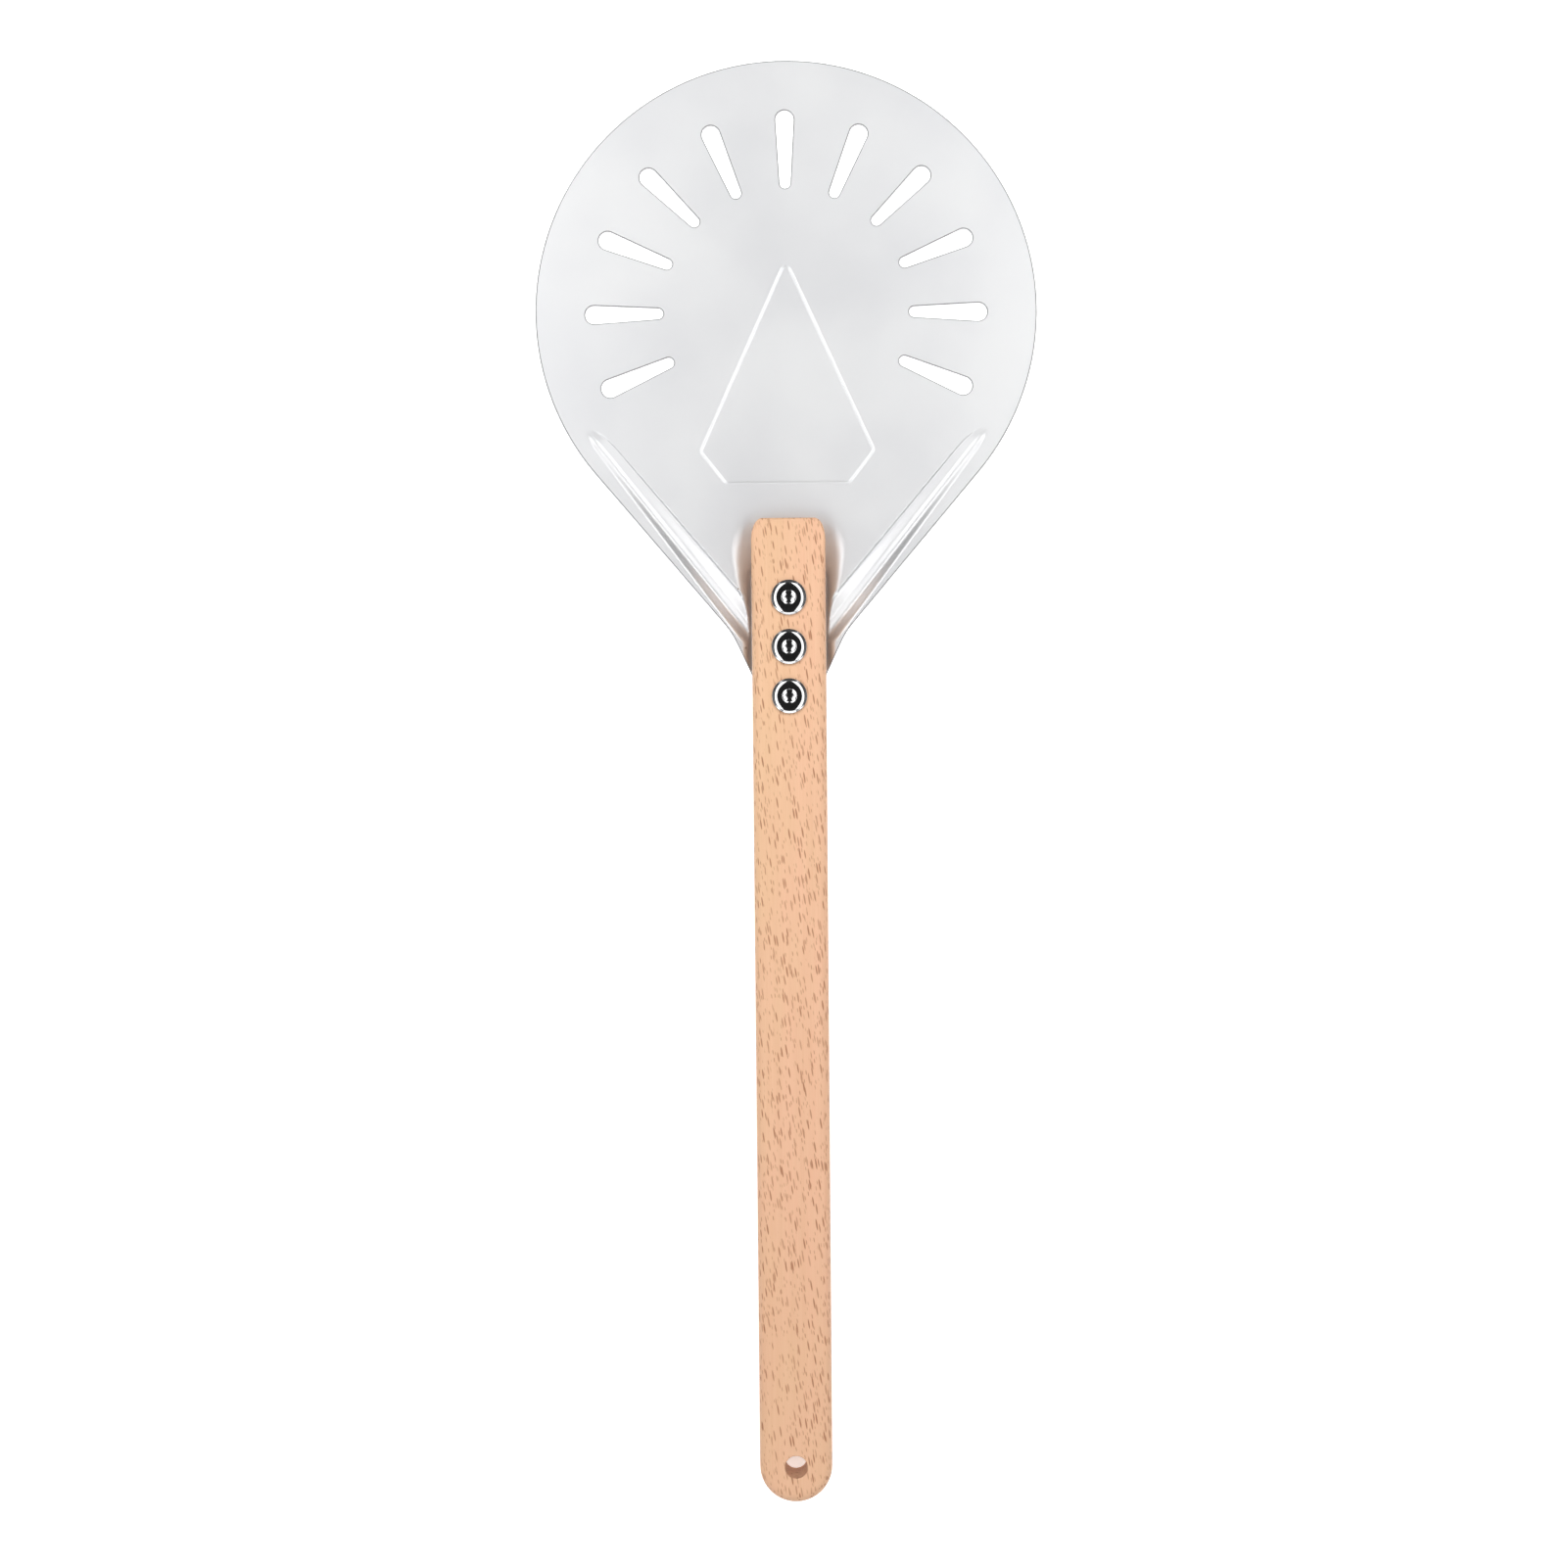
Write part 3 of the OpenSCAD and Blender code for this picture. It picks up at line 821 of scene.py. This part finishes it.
def beech():
    """Sanded steamed beech: pale pinkish tan, with short dark flecks that lean a little.

    The wood is painted darker towards the hand end: painted shade where the light falls off along the
    handle.
    """
    m = Nodes("beech")
    lean = m.add("ShaderNodeVectorRotate", rotation_type="Z_AXIS")
    m.feed(lean.inputs["Vector"], m.add("ShaderNodeTexCoord").outputs["Object"])
    m.feed(lean.inputs["Angle"], math.radians(-9))

    def flecks(scale, size, dark_share):
        """Spindles scattered in cells, of which only a share is dark."""
        where = m.add("ShaderNodeMapping", {"Vector": lean.outputs[0], "Scale": scale}).outputs[0]
        cells = m.add("ShaderNodeTexVoronoi", {"Vector": where, "Scale": 1.0, "Randomness": 1.0})
        split = m.add("ShaderNodeSeparateColor", {"Color": cells.outputs["Color"]})
        shape = m.spread(cells.outputs["Distance"], size * 0.65, size, 1.0, 0.0)
        chosen = m.math("LESS_THAN", split.outputs[0], dark_share)
        tone = m.spread(split.outputs[1], 0.0, 1.0, 0.55, 1.0)
        return m.math("MULTIPLY", m.math("MULTIPLY", shape, chosen), tone)

    long_flecks = flecks((800, 115, 800), 0.35, 0.85)
    short_flecks = flecks((1100, 240, 1100), 0.33, 0.65)
    fleck = m.math("MAXIMUM", long_flecks, m.math("MULTIPLY", short_flecks, 0.7))

    fibre = m.noise((1500, 28, 1100), 3.0, 0.6)
    band = m.noise((190, 7, 120), 2.0)
    cloud = m.noise((38, 9, 30), 2.0)
    colour = m.mix(m.vary(cloud), (0.748, 0.468, 0.278), (0.772, 0.448, 0.288))
    colour = m.mix(m.spread(band, 0.3, 0.72, 0.0, 0.30), colour, (0.676, 0.409, 0.237))
    colour = m.mix(m.vary(fibre, 0.0, 0.26), colour, (0.83, 0.561, 0.369))
    colour = m.mix(m.math("MULTIPLY", fleck, 0.9), colour, (0.37, 0.16, 0.08))
    along = m.add("ShaderNodeSeparateXYZ", {"Vector": m.place((1, 1, 1))}).outputs["Y"]
    hand_end, blade_end = -0.52, -0.12
    # Painted shade: the wood's colour is darkened towards the hand end, where the light falls off.
    painted_shade = m.spread(along, hand_end, blade_end, 0.55, 0.0)
    colour = m.mix(painted_shade, colour, (0.83, 0.80, 0.81), "MULTIPLY")
    roughness = m.vary(fibre, 0.52, 0.64)
    relief = m.math("SUBTRACT", m.math("MULTIPLY", fibre, 0.5), fleck)
    m.set(Base_Color=colour, Roughness=roughness, Specular_IOR_Level=0.35)
    m.set(Normal=m.bump(relief, 0.00008, 0.5))
    return m.owner


def chrome():
    """Polished plating with hairline polishing marks and a slight orange peel."""
    m = Nodes("polished_chrome")
    hairline = m.noise((3000, 500, 3000), 2.0)
    peel = m.noise((420, 420, 420), 1.0)
    tone = m.mix(m.vary(peel), (0.60, 0.60, 0.61), (0.66, 0.66, 0.665))
    roughness = m.vary(hairline, 0.05, 0.11)
    m.set(Base_Color=tone, Metallic=1.0, Roughness=roughness, Normal=m.bump(peel, 0.00001, 0.3))
    return m.owner


def pale_floor():
    """A white floor that glows more away from the peel, so that it meets the backdrop unseen."""
    m = Nodes("pale_floor")
    tone = m.mix(m.noise((2, 2, 2)), (0.92, 0.92, 0.92), (0.95, 0.95, 0.95))
    length = m.add("ShaderNodeVectorMath", {0: m.place((1, 1, 1))}, operation="LENGTH")
    glow = m.spread(length.outputs["Value"], 0.7, 2.0, 0.45, 1.0)
    m.set(Base_Color=tone, Roughness=0.9, Emission_Color=WHITE, Emission_Strength=glow)
    return m.owner


def shaded_cut_edge():
    """The sheared rim of the sheet: a duller grey than its blasted faces, and painted much darker as
    painted shade for the dark line along the sheet's edges.
    """
    m = Nodes("sheared_aluminium_painted_dark")
    streak = m.noise((900, 900, 90), 2.0)
    # Partly the sheared edge's own duller grey, partly painted shade: the rim is far darker than the
    # faces.
    colour = m.mix(m.vary(streak), (0.30, 0.30, 0.305), (0.42, 0.42, 0.425))
    roughness = m.vary(streak, 0.40, 0.55)
    m.set(Base_Color=colour, Metallic=0.9, Roughness=roughness, Normal=m.bump(streak, 0.00002, 0.5))
    return m.owner


def dress(obj, materials, node):
    """Gives a piece its materials, hangs it under the root body, and hides the CAD node that it stands
    for.
    """
    for material in materials:
        obj.data.materials.append(material)
    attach(obj, "root")
    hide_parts(node)


# ---------------------------------------------------------------- assembly

wood = beech()
plating = chrome()

dress(build_blade(), [aluminium(), shaded_cut_edge()], "blade")
dress(build_handle(), [wood, wood], "handle")
for i in range(len(BOLT_YS)):
    dress(build_bolt(i), [plating], f"bolt_{i + 1}")
    dress(build_nut(i), [plating], f"sleeve_nut_{i + 1}")

# ---------------------------------------------------------------- floor, light and camera


def build_floor():
    """A wide square just under the peel."""
    half, below = 6.0, 0.0005
    z = cad_bounds[0][2] - below
    corners = [(-half, -half, z), (half, -half, z), (half, half, z), (-half, half, z)]
    mesh = bpy.data.meshes.new("floor")
    mesh.from_pydata(corners, [], [(0, 1, 2, 3)])
    mesh.materials.append(pale_floor())
    floor = bpy.data.objects.new("floor", mesh)
    bpy.context.scene.collection.objects.link(floor)


build_floor()

# The point that the camera looks down on and the lights face, in metres.
middle = Vector((-0.00285, -0.2155, 0.0))


def softbox(name, place, size, power, glossy=True):
    """An area light, placed from the middle of the peel and aimed at it.

    The first of the two sizes is the level one: it runs along Y for a light at a side.
    """
    lamp = bpy.data.lights.new(name, "AREA")
    lamp.shape = "RECTANGLE"
    lamp.size, lamp.size_y = size
    lamp.energy = power
    obj = bpy.data.objects.new(name, lamp)
    obj.location = middle + Vector(place)
    obj.rotation_euler = (-Vector(place)).to_track_quat("-Z", "Y").to_euler()
    obj.visible_glossy = glossy
    bpy.context.scene.collection.objects.link(obj)


softbox("left_strip", (-0.70, 0.1, 1.45), (2.7, 0.68), 13.3)
softbox("right_strip", (0.70, 0.1, 1.45), (2.7, 0.68), 12.4)
softbox("left_panel", (-1.7, -0.3, 0.85), (2.2, 0.9), 1.8)
softbox("right_panel", (1.7, -0.3, 0.85), (2.2, 0.9), 1.4)
softbox("rear_panel", (0.0, -1.25, 1.05), (1.1, 0.55), 3.4)
softbox("fill", (0.0, 0.6, 1.6), (1.6, 1.6), 16.0, glossy=False)


def studio_world():
    """A dim room, dimmest overhead, that the camera itself sees as a white backdrop."""
    sky = Nodes("studio", bpy.data.worlds, "Background")
    direction = sky.add("ShaderNodeTexCoord").outputs["Generated"]
    upward = sky.add("ShaderNodeSeparateXYZ", {"Vector": direction}).outputs["Z"]
    room = sky.spread(upward, 0.6, 0.97, 0.1, 0.02)
    seen = sky.add("ShaderNodeLightPath").outputs["Is Camera Ray"]
    sky.set(Color=WHITE, Strength=sky.math("MAXIMUM", room, seen))
    return sky.owner


bpy.context.scene.world = studio_world()
bpy.context.scene.view_settings.view_transform = "Standard"

camera_height = 1.24
frame_width = 0.7148
camera_data = bpy.data.cameras.new("camera")
camera_data.sensor_width = 36
camera_data.lens = camera_data.sensor_width * camera_height / frame_width
camera = bpy.data.objects.new("camera", camera_data)
camera.location = middle + Vector((0, 0, camera_height + SHEET_T * MM))
camera.rotation_euler = (0, 0, math.radians(-0.5))
bpy.context.scene.collection.objects.link(camera)
bpy.context.scene.camera = camera
